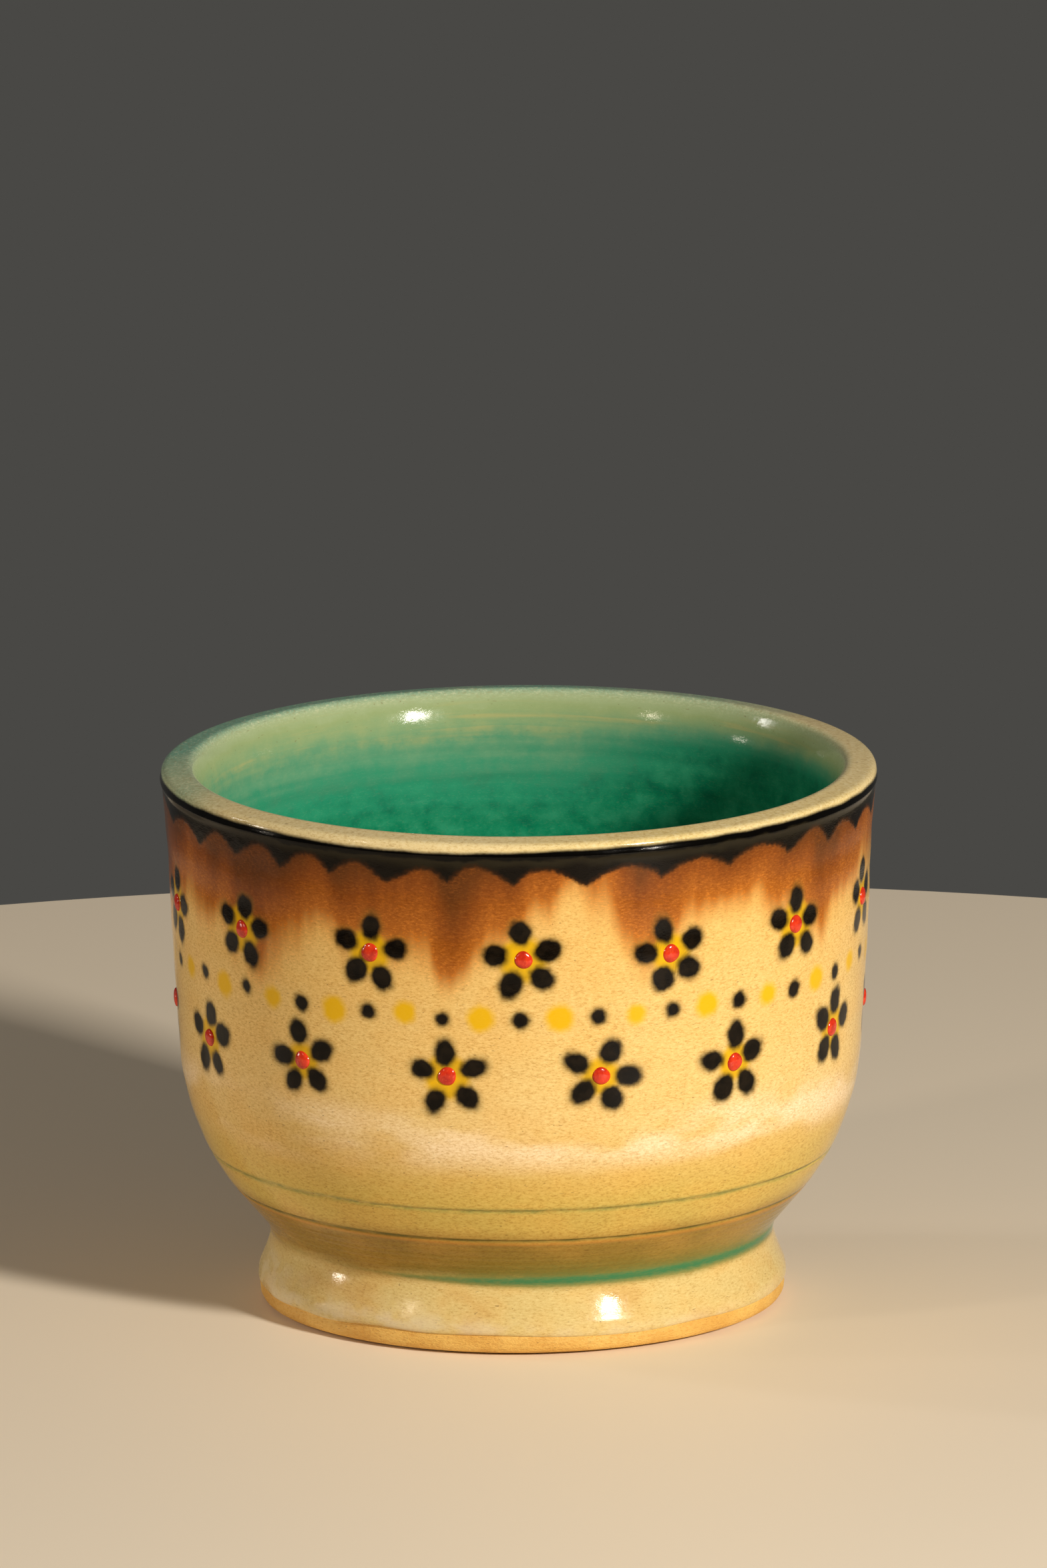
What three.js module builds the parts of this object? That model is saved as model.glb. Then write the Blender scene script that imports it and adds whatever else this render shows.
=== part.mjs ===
import * as THREE from 'three';

// A small hand-thrown cup on a flared foot ring, with coloured glazes, in millimetres.
// It stands on z = 0 and its axis is z. Angle 0 is the front, on the -y side.
// The clay is one long outline, foot to lip to floor, and every glaze coat lies on a stretch of it.

// Clay foot
const footHeight = 10.6; // table to the crease under the bowl
const waistRadius = 34.2; // clay at the crease
const footFlare = 2.15; // how far the foot spreads beyond the waist
const footRingWidth = 5.6; // wall of the foot ring where it meets the bowl
const bareHeight = 2.7; // table to the lower edge of the glaze
const footBelly = 1.5; // upright stretch of the foot above that edge
const heelHeight = 0.6; // slit between the foot's bare heel and the table
const heelUndercut = 1.95; // how far the heel draws in to the standing ring
const standingWidth = 4.0; // flat ring that touches the table
const recessBevel = 1.0; // broken edge inside the standing ring

// Clay bowl
const ridgeRise = 7.2; // crease to the turned ridge
const ridgeReach = 6.15; // ridge beyond the waist
const lineRise = 4.8; // ridge to the turned line
const lineReach = 3.05; // line beyond the ridge
const shoulderRise = 7.9; // line to the bend of the shoulder
const shoulderRadius = 46.6;
const shoulderRound = 3.6; // reach of the bend along each leg
const wallHeight = 43.9; // shoulder to the outer edge of the lip
const wallFlare = 2.1; // shoulder out to the collar, where the lip starts to flare
const lipFlare = 0.8; // collar out to the outer edge of the lip
const lipHeight = 1.1; // outer edge up to the corner of the lip's flat top
const lipWidth = 3.7; // flat top between its two corners
const lipSlope = 0.4; // inner corner above the outer one
const lipRound = 0.8; // reach of the bend at both corners
const throatDrop = 3.2; // inner corner down to where the flare inside ends
const throatInset = 1.4; // inner corner in to there
const wallThickness = 4.7; // clay at the shoulder and at the collar
const innerShoulderRise = 1.2; // inside bend above the outside one
const innerRound = 6.0; // reach of the inside bend
const floorThickness = 5.6; // clay above the foot recess
const floorInset = 4.4; // flat floor's edge inside the waist
const floorRound = 7.0; // reach of the bend into the floor

// Glaze coats
const glaze = 0.5; // thickness
const poolRise = 1.7; // green pool up the skirt from the crease
const poolDrop = 1.3; // green pool down the foot from the crease
const poolFill = 0.45; // how far the pool's face stands out of the corner, 0 to 1
const seamGap = 0.1; // hairline between two colours along a waving edge

// Painted edges on the outside
const scallopCount = 32; // black arches round the lip
const bandDepth = 4.1; // lip's outer edge to the tips between arches
const scallopRise = 2.4; // tips to the tops of the arches
const scallopLag = 1.5; // degrees by which the painter's hand ran late round the lip
const scallopDrift = 2.3; // degrees by which it then ran ahead and behind
const scallopBeat = 3; // times it did so in one turn
const collarMargin = 2.7; // tips to where the flare of the lip ends
const washDrop = 4.6; // end of the flare to the top of the brown's runs
const dripLength = 7.2; // longest brown run
const dripCount = 10;
const dripStart = -13; // degrees from the front to the first run
const dripSway = 0.4; // unevenness of the runs' spacing, in radians of one spacing
const dripBeat = 3; // times the spacing widens and narrows in one turn
const dripSharpness = 5; // the higher, the narrower the runs
const dripVariety = 0.3; // share by which runs are longer or shorter than their mean
const dripLongest = 20; // degrees from the front to where they are longest

// Red beads at the hearts of the painted flowers, in two rows round the wall
const flowerCount = 14; // in each row
const upperRowDrop = 8.1; // end of the flare to the upper row
const lowerRowDrop = 25.1; // end of the flare to the lower row
const beadRadius = 1.35;
const beadHeight = 0.5;
const beadSeat = 0.05; // hairline under a bead
const handSway = 0.45; // how far the brush missed each bead's true place
const handTurn = 2.4; // turn of that miss from one bead to the next, in radians

// Facets
const facets = 64; // flat sides of every turned surface
const samplesPerFacet = 3; // steps of a waving edge across one flat side
const bendSteps = 3;
const poolSteps = 3;
const beadSteps = 3;
const beadFacets = 12;

const fullTurn = 2 * Math.PI;
const { degToRad } = THREE.MathUtils;
const point = (radius, height) => new THREE.Vector2(radius, height);
const between = (start, end, share) => start.clone().lerp(end, share);

/** A curve from start to end that leaves and arrives along the lines to its control point. */
function bend(start, control, end, steps) {
  const curve = new THREE.QuadraticBezierCurve(start, control, end);
  return [start, ...curve.getPoints(steps).slice(1, -1), end];
}

/** The point a given distance from one point towards another. */
function towards(start, end, distance) {
  return start.clone().add(end.clone().sub(start).setLength(distance));
}

/** A corner replaced by a curve that leaves both legs at the same distance from it. */
function rounded(before, corner, after, reach) {
  return bend(towards(corner, before, reach), corner, towards(corner, after, reach), bendSteps);
}

/** An open profile moved to its right by a distance, with mitred corners. */
function offset(profile, distance) {
  const normals = profile.slice(1).map((end, index) => {
    const run = end.clone().sub(profile[index]).normalize();
    return point(run.y, -run.x);
  });
  return profile.map((corner, index) => {
    const after = normals[Math.min(index, normals.length - 1)];
    const mitre = normals[Math.max(index - 1, 0)].clone().add(after).normalize();
    return corner.clone().addScaledVector(mitre, distance / mitre.dot(after));
  });
}

// Clay outline, as points of radius and height: up the foot, skirt and wall, over the lip, down to the floor
const waist = point(waistRadius, footHeight);
const footEdge = point(waistRadius + footFlare, bareHeight);
const belly = point(footEdge.x, bareHeight + footBelly);
const poolBottom = between(waist, belly, poolDrop / (waist.y - belly.y));

const ridge = point(waistRadius + ridgeReach, footHeight + ridgeRise);
const poolTop = between(waist, ridge, poolRise / ridgeRise);
const turnedLine = point(ridge.x + lineReach, ridge.y + lineRise);
const shoulder = point(shoulderRadius, turnedLine.y + shoulderRise);
const collarDrop = bandDepth + collarMargin;
const collar = point(shoulder.x + wallFlare, shoulder.y + wallHeight - collarDrop);
const lipEdge = point(collar.x + lipFlare, collar.y + collarDrop);
const shoulderBend = rounded(turnedLine, shoulder, collar, shoulderRound);
const wallFoot = shoulderBend.at(-1);

const lipOuter = point(lipEdge.x, lipEdge.y + lipHeight);
const lipInner = point(lipOuter.x - lipWidth, lipOuter.y + lipSlope);
const throat = point(lipInner.x - throatInset, lipInner.y - throatDrop);
const linerEdge = point(collar.x - wallThickness, collar.y);
const innerShoulder = point(shoulder.x - wallThickness, shoulder.y + innerShoulderRise);
const floorHeight = footHeight + floorThickness;
const floorEdge = point(waistRadius - floorInset, floorHeight);
const floorCentre = point(0, floorHeight);

const clay = [
  footEdge,
  belly,
  poolBottom,
  waist,
  poolTop,
  ridge,
  turnedLine,
  ...shoulderBend,
  collar,
  lipEdge,
  ...rounded(lipEdge, lipOuter, lipInner, lipRound),
  ...rounded(lipOuter, lipInner, throat, lipRound),
  throat,
  linerEdge,
  ...rounded(linerEdge, innerShoulder, floorEdge, innerRound),
  ...rounded(innerShoulder, floorEdge, floorCentre, floorRound),
  floorCentre,
];
const glazed = offset(clay, glaze);

/**
 * Revolves a profile about the axis. A profile entry is a point or, on a waving edge, a function from
 * angle to point. Extra samples stay on the flat sides, where the radius is the facet's own.
 */
function turned(profile, samples = facets) {
  const at = (entry, angle) => (typeof entry === 'function' ? entry(angle) : entry);
  const geometry = new THREE.LatheGeometry(profile.map((entry) => at(entry, 0)), samples);
  const position = geometry.getAttribute('position');
  const facetAngle = fullTurn / facets;
  for (let sample = 0; sample <= samples; sample += 1) {
    const angle = (sample / samples) * fullTurn;
    const onFlat = ((sample * facets) % samples) / samples - 0.5;
    const flatness = Math.cos(facetAngle / 2) / Math.cos(onFlat * facetAngle);
    profile.forEach((entry, row) => {
      const { x, y } = at(entry, angle);
      const radius = x * flatness;
      position.setXYZ(sample * profile.length + row, radius * Math.sin(angle), y, radius * Math.cos(angle));
    });
  }
  geometry.computeVertexNormals();
  return geometry;
}

/** A coat of even thickness on a stretch of the clay outline, between two of its points. */
function coat(start, end) {
  const first = clay.indexOf(start);
  const last = clay.indexOf(end) + 1;
  const outside = glazed.slice(first, last);
  return turned([...outside, ...clay.slice(first, last).reverse(), outside[0]]);
}

/** A row of a waving coat that stays at one point of the clay outline. */
function ring(start) {
  return { clay: start, glaze: glazed[clay.indexOf(start)] };
}

/** A row that slides along one straight run of the outline, by a share that changes with the angle. */
function wave(start, end, share) {
  const [low, high] = [ring(start), ring(end)];
  return {
    clay: (angle) => between(low.clay, high.clay, share(angle)),
    glaze: (angle) => between(low.glaze, high.glaze, share(angle)),
  };
}

/** A coat between rows that may wave, listed from the lowest up. */
function wavingCoat(rows) {
  const outside = rows.map((row) => row.glaze);
  const inside = rows.map((row) => row.clay).reverse();
  return turned([...outside, ...inside, outside[0]], facets * samplesPerFacet);
}

/** Depth of the black band below the lip's edge: an arch from tip to tip, spaced by an uneven hand. */
function bandEdge(angle) {
  const late = degToRad(scallopLag - scallopDrift * Math.cos(scallopBeat * angle));
  const step = (scallopCount * (angle - late)) / fullTurn;
  return bandDepth - scallopRise * Math.abs(Math.sin(Math.PI * step));
}

/** Depth of the brown wash below the end of the flare: narrow runs of uneven length and spacing. */
function washEdge(angle) {
  const spacing = dripCount * (angle - degToRad(dripStart)) + dripSway * Math.sin(dripBeat * angle);
  const run = (0.5 + 0.5 * Math.cos(spacing)) ** dripSharpness;
  const length = 1 - dripVariety + dripVariety * Math.cos(angle - degToRad(dripLongest));
  return washDrop + dripLength * length * run;
}

const wallRun = collar.y - wallFoot.y;
const bandLower = wave(lipEdge, collar, (angle) => bandEdge(angle) / collarDrop);
const washUpper = wave(lipEdge, collar, (angle) => (bandEdge(angle) + seamGap) / collarDrop);
const washLower = wave(collar, wallFoot, (angle) => washEdge(angle) / wallRun);
const wallUpper = wave(collar, wallFoot, (angle) => (washEdge(angle) + seamGap) / wallRun);

/** Bowl of clay: wall, skirt and floor, with a flat underside over the foot ring. */
function bowl() {
  return turned([point(0, footHeight), ...clay.slice(clay.indexOf(waist))]);
}

/** Foot ring of clay: cone, upright belly, bare heel over a slit, standing ring and recess. */
function footRing() {
  const heel = point(footEdge.x, heelHeight);
  const standing = heel.x - heelUndercut;
  const recessMouth = standing - standingWidth;
  const recessTop = point(waistRadius - footRingWidth, footHeight);
  const underside = [point(recessMouth - recessBevel, recessBevel), point(recessMouth, 0), point(standing, 0)];
  return turned([recessTop, ...underside, heel, footEdge, belly, poolBottom, waist, recessTop]);
}

/** Pool of glaze that fills the crease between foot and skirt, with a hollow face. */
function creasePool() {
  const low = ring(poolBottom).glaze;
  const high = ring(poolTop).glaze;
  const hollow = between(ring(waist).glaze, between(low, high, 0.5), poolFill);
  return turned([...bend(low, hollow, high, poolSteps), poolTop, waist, poolBottom, low]);
}

/** Bead of red slip: a low dome on a flat back, about its own axis. */
function bead() {
  const dome = bend(point(beadRadius, 0), point(beadRadius, beadHeight), point(0, beadHeight), beadSteps);
  return new THREE.LatheGeometry([point(0, 0), ...dome], beadFacets);
}

/** A row of beads round the wall, each square to the glaze that it sits on. */
function beadRow(name, drop, startAngle) {
  const [low, high] = [ring(wallFoot).glaze, ring(collar).glaze];
  const lean = Math.atan2(high.x - low.x, high.y - low.y);
  const row = new THREE.Group();
  for (let index = 0; index < flowerCount; index += 1) {
    const miss = point(handSway, 0).rotateAround(point(0, 0), handTurn * index);
    const seat = between(high, low, (drop + miss.y) / wallRun);
    const heart = piece(`${name}_${index + 1}`, bead(), 0xcd341a, 0.15);
    heart.position.set(miss.x, seat.y, seat.x + beadSeat);
    heart.rotation.x = Math.PI / 2 + lean;
    const place = new THREE.Group();
    place.rotation.y = startAngle + (index / flowerCount) * fullTurn;
    place.add(heart);
    row.add(place);
  }
  return row;
}

/** A named piece in its own colour. */
function piece(name, geometry, color, roughness) {
  const mesh = new THREE.Mesh(geometry, new THREE.MeshStandardMaterial({ color, roughness, metalness: 0 }));
  mesh.name = name;
  return mesh;
}

const cup = new THREE.Group();
cup.add(
  piece('bowl', bowl(), 0xd9ab68, 0.85),
  piece('foot_ring', footRing(), 0xe0aa58, 0.85),
  piece('foot_glaze', coat(footEdge, poolBottom), 0xe3bd6e, 0.2),
  piece('crease_glaze', creasePool(), 0x3f8f63, 0.12),
  piece('skirt_glaze', coat(poolTop, wallFoot), 0xcfa75a, 0.22),
  piece('wall_glaze', wavingCoat([ring(wallFoot), wallUpper]), 0xf0c06c, 0.25),
  piece('brown_wash', wavingCoat([washLower, ring(collar), washUpper]), 0x8a4512, 0.25),
  piece('rim_band', wavingCoat([bandLower, ring(lipEdge)]), 0x20170d, 0.18),
  piece('lip_glaze', coat(lipEdge, linerEdge), 0xd3bb84, 0.2),
  piece('liner_glaze', coat(linerEdge, floorCentre), 0x25835d, 0.12),
  beadRow('upper_bead', upperRowDrop, 0),
  beadRow('lower_bead', lowerRowDrop, fullTurn / flowerCount / 2),
);
cup.rotation.x = Math.PI / 2;

export default cup;
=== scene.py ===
"""A hand-thrown ceramic cup with coloured glazes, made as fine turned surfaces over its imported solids.

The skin of the cup is one outline, from the glazed edge of the foot up the skirt and the wall, over the lip
and down to the middle of the floor. It is turned about the axis, with a relief along its normal. Every coat
of glaze is a stretch of that skin, so neighbours meet edge to edge and share what is painted across them.
A place on the skin is given by its angle from the front, on the -y side, and by its run along the outline.
"""
import math

import bpy
import numpy as np
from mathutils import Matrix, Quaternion, Vector


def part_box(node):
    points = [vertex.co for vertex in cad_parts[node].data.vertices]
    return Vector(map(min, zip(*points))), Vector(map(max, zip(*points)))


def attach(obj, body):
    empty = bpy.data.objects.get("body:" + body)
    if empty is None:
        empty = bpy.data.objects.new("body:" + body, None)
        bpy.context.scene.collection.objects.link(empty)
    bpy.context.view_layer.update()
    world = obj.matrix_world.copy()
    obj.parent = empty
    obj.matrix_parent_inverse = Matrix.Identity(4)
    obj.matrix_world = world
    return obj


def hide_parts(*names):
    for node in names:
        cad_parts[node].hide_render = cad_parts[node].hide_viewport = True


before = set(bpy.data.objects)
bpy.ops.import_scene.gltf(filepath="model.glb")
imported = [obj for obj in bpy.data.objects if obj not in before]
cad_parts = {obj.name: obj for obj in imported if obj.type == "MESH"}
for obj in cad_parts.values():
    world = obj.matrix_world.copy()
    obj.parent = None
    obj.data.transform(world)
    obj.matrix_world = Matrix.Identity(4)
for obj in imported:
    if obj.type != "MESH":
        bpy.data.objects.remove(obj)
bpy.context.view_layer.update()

MM = 0.001
TURN = 2 * math.pi
COLUMNS = 960  # points round the cup
angles = np.arange(COLUMNS) / COLUMNS * TURN
clay_angles = angles[::2]


def lowest(node):
    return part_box(node)[0].z / MM


def highest(node):
    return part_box(node)[1].z / MM


def widest(node):
    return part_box(node)[1].x / MM


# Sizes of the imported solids, in millimetres
foot_radius = widest("foot_glaze")
crease_height = highest("foot_ring")
pool_low = lowest("crease_glaze")
pool_high = lowest("skirt_glaze")
shoulder_radius = widest("skirt_glaze")
wall_foot = lowest("wall_glaze")
collar_height = highest("liner_glaze")
lip_radius = widest("rim_band")
lip_height = highest("rim_band")
crest_height = highest("lip_glaze")
GLAZE = 0.5  # thickness of a coat
floor_height = lowest("liner_glaze") + GLAZE

# Corners of the skin's outline: radius, height and how far the bend reaches along both legs
SKIN_CORNERS = {
    "foot start": (foot_radius - 0.15, 0.9, 0.0),
    "foot edge": (foot_radius, 2.4, 0.6),
    "belly": (foot_radius, 4.3, 0.8),
    "foot hollow": (foot_radius - 1.42, 7.6, 2.1),
    "crease": (foot_radius - 2.1, crease_height, 0.9),
    "ridge": (foot_radius + 4.05, 17.8, 1.5),
    "line": (shoulder_radius - 3.45, 22.4, 2.4),
    "shoulder": (shoulder_radius - 0.15, 30.9, 5.5),
    "wall": (shoulder_radius + 1.3, 54.0, 5.0),
    "collar": (lip_radius - 1.1, 64.5, 4.0),
    "lip outside": (lip_radius - 0.1, crest_height - 0.42, 1.0),
    "crest": (lip_radius - 4.45, crest_height + 0.08, 0.9),
    "throat": (lip_radius - 6.3, crest_height - 3.7, 2.6),
    "liner edge": (lip_radius - 6.55, collar_height, 1.5),
    "inner shoulder": (shoulder_radius - 5.8, 31.6, 6.5),
    "floor edge": (foot_radius - 7.35, floor_height, 7.5),
    "floor centre": (0.0, floor_height, 0.0),
}


class Outline:
    """A smooth outline through corners of radius, height and reach.

    Each corner becomes a curve that leaves its two legs at its reach. The line is cut into even steps and
    blurred along its length, so that its curvature has no jumps. A closed outline runs back to its start.
    """

    STEP = 0.05
    BLUR = 0.25

    def __init__(self, corners, closed=False):
        corners = np.array(corners, float)
        points, reach = corners[:, :2], corners[:, 2:]
        before = np.roll(points, 1, axis=0) - points
        after = np.roll(points, -1, axis=0) - points
        start = points + before / np.linalg.norm(before, axis=1, keepdims=True) * reach
        end = points + after / np.linalg.norm(after, axis=1, keepdims=True) * reach
        share = np.linspace(0, 1, 13)[:, None]
        bends = [
            (1 - share) ** 2 * a + 2 * share * (1 - share) * corner + share ** 2 * b
            for a, corner, b in zip(start, points, end)
        ]
        line = np.concatenate(bends + bends[:1] if closed else bends)
        length = np.concatenate([[0], np.cumsum(np.linalg.norm(np.diff(line, axis=0), axis=1))])
        self.run = np.linspace(0, length[-1], round(length[-1] / self.STEP))
        self.radius, self.height = (
            self.blurred(np.interp(self.run, length, line[:, axis]), closed) for axis in (0, 1)
        )
        slope_r, slope_z = np.gradient(self.radius), np.gradient(self.height)
        steep = np.hypot(slope_r, slope_z)
        self.out_r, self.out_z = slope_z / steep, -slope_r / steep

    def blurred(self, values, closed):
        reach = round(3 * self.BLUR / self.STEP)
        weight = np.exp(-0.5 * (np.arange(-reach, reach + 1) * self.STEP / self.BLUR) ** 2)
        ends = {"mode": "wrap"} if closed else {"mode": "reflect", "reflect_type": "odd"}
        return np.convolve(np.pad(values, reach, **ends), weight / weight.sum(), "valid")

    def at(self, run):
        """Radius, height and the two parts of the outward normal at a run."""
        return [np.interp(run, self.run, v) for v in (self.radius, self.height, self.out_r, self.out_z)]

    def nearest(self, radius, height):
        """The run of the place nearest to a point."""
        return self.run[np.argmin(np.hypot(self.radius - radius, self.height - height))]


skin_outline = Outline(list(SKIN_CORNERS.values()))
RUN = {name: skin_outline.nearest(*corner[:2]) for name, corner in SKIN_CORNERS.items()}
outside = skin_outline.run <= RUN["lip outside"]


def run_at(height):
    """The run at which the outside of the cup has a height."""
    return np.interp(height, skin_outline.height[outside], skin_outline.run[outside])


lip_edge_run = run_at(lip_height)


# Hand and brush
def smooth(value, low, high):
    """0 below low, 1 above high, and an S-curve between."""
    share = np.clip((value - low) / (high - low), 0, 1)
    return share * share * (3 - 2 * share)


def swell(distance, width):
    """A bell curve: 1 at no distance, falling off over a width."""
    return np.exp(-((distance / width) ** 2))


def turn_from(angle, place):
    """The way round from a place to an angle, at most half a turn to either side."""
    return (angle - place + math.pi) % TURN - math.pi


def unsteady(angle, seed, waves, fall=0.5):
    """A hand's unsteadiness round one turn, about -1 to 1: whole cosine waves with random phases, each
    weaker than the last by the power fall."""
    chance = np.random.default_rng(seed)
    count = np.arange(1, waves + 1)
    phase = chance.uniform(0, TURN, waves)
    size = chance.uniform(0.4, 1.0, waves) * count ** -fall
    return np.cos(np.asarray(angle)[..., None] * count + phase) @ size / np.sqrt((size ** 2).sum())


# Painted edges, as on the solids
BAND_DEPTH = 4.1  # lip's edge to the tips of the black band
BAND_RISE = 2.4  # tips to the tops of its arches
ARCHES = 32
ARCH_LAG = 1.5
ARCH_DRIFT = 2.3
ARCH_BEAT = 3
WASH_DROP = 4.6  # collar to the top of the brown's runs
DRIP_LENGTH = 7.2
DRIPS = 10
DRIP_START = -13
DRIP_SWAY = 0.4
DRIP_BEAT = 3
DRIP_SHARPNESS = 5
DRIP_VARIETY = 0.3
DRIP_LONGEST = 20
THIN_IRON = 6.0  # how much higher the brown ends at the place near the front where it is thinnest
THIN_PLACE = 8
# The brown's tilt from left to right is partly painted shade: it is darker on the left and paler on the
# right.
IRON_LEFT_AND_SHADE = 2.2  # how much lower it reaches on the left, and higher on the right
IRON_BLEED = 1.5  # how far its colour bleeds below its edge


def arch_height(angle):
    """Height of the black band's lower edge. Between two tips it is a leaning sine arch, round or pointed, of
    its own rise, and the tips drift round the lip as the painter's hand runs late and early."""
    late = np.radians(ARCH_LAG - ARCH_DRIFT * np.cos(ARCH_BEAT * angle))
    place = (angle - late) / TURN * ARCHES
    number = np.floor(place).astype(int)
    across = place - number
    chance = np.random.default_rng(5)
    tip = chance.normal(0, 0.35, ARCHES)
    rise = BAND_RISE * chance.uniform(0.7, 1.2, ARCHES)
    lean = chance.uniform(0.7, 1.4, ARCHES)
    point = chance.uniform(0.6, 1.5, ARCHES)
    left, right = number % ARCHES, (number + 1) % ARCHES
    base = tip[left] * (1 - across) + tip[right] * across
    arch = np.sin(np.pi * across ** lean[left]) ** point[left]
    return lip_height - BAND_DEPTH + base + rise[left] * arch + 0.09 * unsteady(angle, 6, 90, 0.2)


def wash_height(angle):
    """Height of the brown wash's lower edge: an uneven line with narrow runs, longest near the front."""
    spacing = DRIPS * (angle - math.radians(DRIP_START)) + DRIP_SWAY * np.sin(DRIP_BEAT * angle)
    drip = (0.5 + 0.5 * np.cos(spacing)) ** DRIP_SHARPNESS
    length = 1 - DRIP_VARIETY + DRIP_VARIETY * np.cos(angle - math.radians(DRIP_LONGEST))
    return collar_height - WASH_DROP - DRIP_LENGTH * length * drip + 0.5 * unsteady(angle, 8, 30, 0.3)


def foot_edge_run(angle):
    """Run of the foot glaze's lower edge, which wanders where the wet glaze was wiped off the clay."""
    return RUN["foot edge"] + 0.25 + 0.2 * unsteady(angle, 12, 18, 0.6)


def foot_milk_and_sheen(angle, run):
    """How milky the foot glaze is, 0 to 1, with its paleness on the left partly a painted reflection: the
    greater of a bell curve above its lower edge, wider on the left, and of a patch round the left side that
    fades towards the crease."""
    left = smooth(np.cos(turn_from(angle, -1.0)), 0.35, 0.95)
    band = (0.45 + 0.55 * left) * swell(run - foot_edge_run(angle) - 0.6, 1.1 + 1.3 * left)
    patch = swell(turn_from(angle, -1.35), 0.3) * smooth(run, RUN["crease"] - 1.5, RUN["crease"] - 4)
    return np.maximum(band, 0.8 * patch)


def pool_strength(angle, run):
    """How much copper green lies in the crease, 0 to 1: a bell curve across it with a long tail upwards, wide
    and strong from the front to the right, and hardly there on the left."""
    share = smooth(np.cos(turn_from(angle, 0.8)), -0.1, 0.85)
    width = 0.45 + 0.6 * share + 0.08 * unsteady(angle, 61, 9)
    above = run - RUN["crease"] + 0.05
    tail = 0.6 * np.exp(-np.maximum(above, 0) / 4.0) * smooth(above, -0.6, 0.3)
    return (0.15 + 0.85 * share) * np.maximum(swell(above, width), tail)


def lip_spill(angle):
    """How far the black spills past the lip's edge towards its top: a wavy edge with small bulges, thickest
    on the right and at the far left."""
    right = 0.55 * smooth(np.cos(turn_from(angle, 0.8)), 0.55, 1.0)
    left = 0.5 * smooth(np.cos(turn_from(angle, -1.4)), 0.6, 1.0)
    return 0.35 + right + left + 0.08 * unsteady(angle, 22, 9) + 0.06 * unsteady(angle, 21, 60, 0.25)


def line_run(angle):
    return RUN["line"] + 0.12 * unsteady(angle, 31, 7)


def ridge_run(angle):
    return RUN["ridge"] + 0.1 * unsteady(angle, 32, 5)


# Skin
BEAD_HEIGHT = 0.16  # black bead along the lip's edge
LINE_DEPTH = 0.13  # turned line round the skirt
GROOVE_DEPTH = 0.2  # groove under the ridge
POOL_FILL = 0.3  # glaze pooled in the crease
EDGE_ROLL = 0.8  # width over which the foot glaze rounds down to the clay


def relief(angle, run):
    """Height of the skin above its outline. It is a sum of bell curves across the run for the lip's bead,
    the pool, the turned line and the groove; of sine rings where the tool or the fingers went round; of slow
    waves; and of a quarter round at the lower edge of the foot glaze."""
    bead = BEAD_HEIGHT * (1 + 0.3 * unsteady(angle, 41, 40, 0.3)) * swell(run - lip_edge_run + 0.2, 0.5)
    pool = POOL_FILL * swell(run - RUN["crease"], 0.9)
    line = LINE_DEPTH * (1 + 0.3 * unsteady(angle, 42, 12)) * swell(run - line_run(angle), 0.17)
    groove = GROOVE_DEPTH * swell(run - ridge_run(angle) + 0.55, 0.28)
    undercut = smooth(run, RUN["crease"] + 0.8, RUN["crease"] + 2)
    undercut = undercut * smooth(run, RUN["ridge"] - 0.3, RUN["ridge"] - 1)
    turning = 0.01 * np.sin(run * TURN / 0.83 + 0.5 * np.sin(angle))
    turning = turning + 0.015 * np.sin(run * TURN / 1.37 + angle)
    inside = smooth(run, RUN["crest"] + 4, RUN["crest"] + 14)
    inside = inside * smooth(run, RUN["floor centre"] - 4, RUN["floor centre"] - 12)
    thrown = 0.07 * np.sin(run * TURN / 5.3 + angle) + 0.03 * np.sin(run * TURN / 2.1 + 2 * angle)
    wall = smooth(run, RUN["line"], RUN["shoulder"]) * smooth(run, lip_edge_run - 1, lip_edge_run - 8)
    waves = 0.03 * np.sin(run * TURN / 6.7 + angle) + 0.035 * unsteady(angle, 43, 6) * np.sin(run / 7)
    past_edge = np.clip((run - foot_edge_run(angle)) / EDGE_ROLL, 0, 1)
    roll = GLAZE * (1 - np.sqrt(1 - (1 - past_edge) ** 2))
    return bead + pool - line - groove + undercut * turning + inside * thrown + wall * waves - roll


def skin(angle, run, depth=0.0):
    """Points at a depth under the skin: the outline, moved along its normal and turned to the angle."""
    radius, height, out_r, out_z = skin_outline.at(run)
    lift = relief(angle, run) - depth
    return turned(angle, radius + out_r * lift, height + out_z * lift)


def turned(angle, radius, height):
    angle = np.broadcast_to(angle, radius.shape)
    return np.stack([radius * np.sin(angle), -radius * np.cos(angle), height], axis=-1)


def skin_normals(angle, run):
    """Unit normals of the skin: the cross product of its slopes round the turn and along the run."""
    small = 0.01
    low = np.clip(run - small, 0, skin_outline.run[-1])
    high = np.clip(run + small, 0, skin_outline.run[-1])
    round_turn = skin(angle + small / 50, run) - skin(angle - small / 50, run)
    along_run = skin(angle, high) - skin(angle, low)
    normal = np.cross(round_turn, along_run)
    length = np.linalg.norm(normal, axis=-1, keepdims=True)
    return np.where(length > 1e-12, normal / np.maximum(length, 1e-12), (0.0, 0.0, 1.0))


# Painted flowers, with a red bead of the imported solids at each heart
FLOWERS = 14  # in each row
PETALS = 5
PETAL_REACH = 3.7  # heart to the middle of a petal
PETAL_LENGTH = 1.8
PETAL_WIDTH = 1.5
EYE_RADIUS = 2.7  # yellow round the heart
DOTS = 56  # in the line between the rows, black and yellow in turn
DOT_RADIUS = 1.15
BEAD_RISE = 0.42
BEAD_ROWS = {row: [f"{row}_bead_{number + 1}" for number in range(FLOWERS)] for row in ("upper", "lower")}


def bead_centres(row):
    """Middles of a row's beads as angle, height and radius."""
    x, y, z = np.array([(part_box(node)[0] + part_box(node)[1]) / 2 / MM for node in BEAD_ROWS[row]]).T
    return np.arctan2(x, -y), z, np.hypot(x, y)


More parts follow.
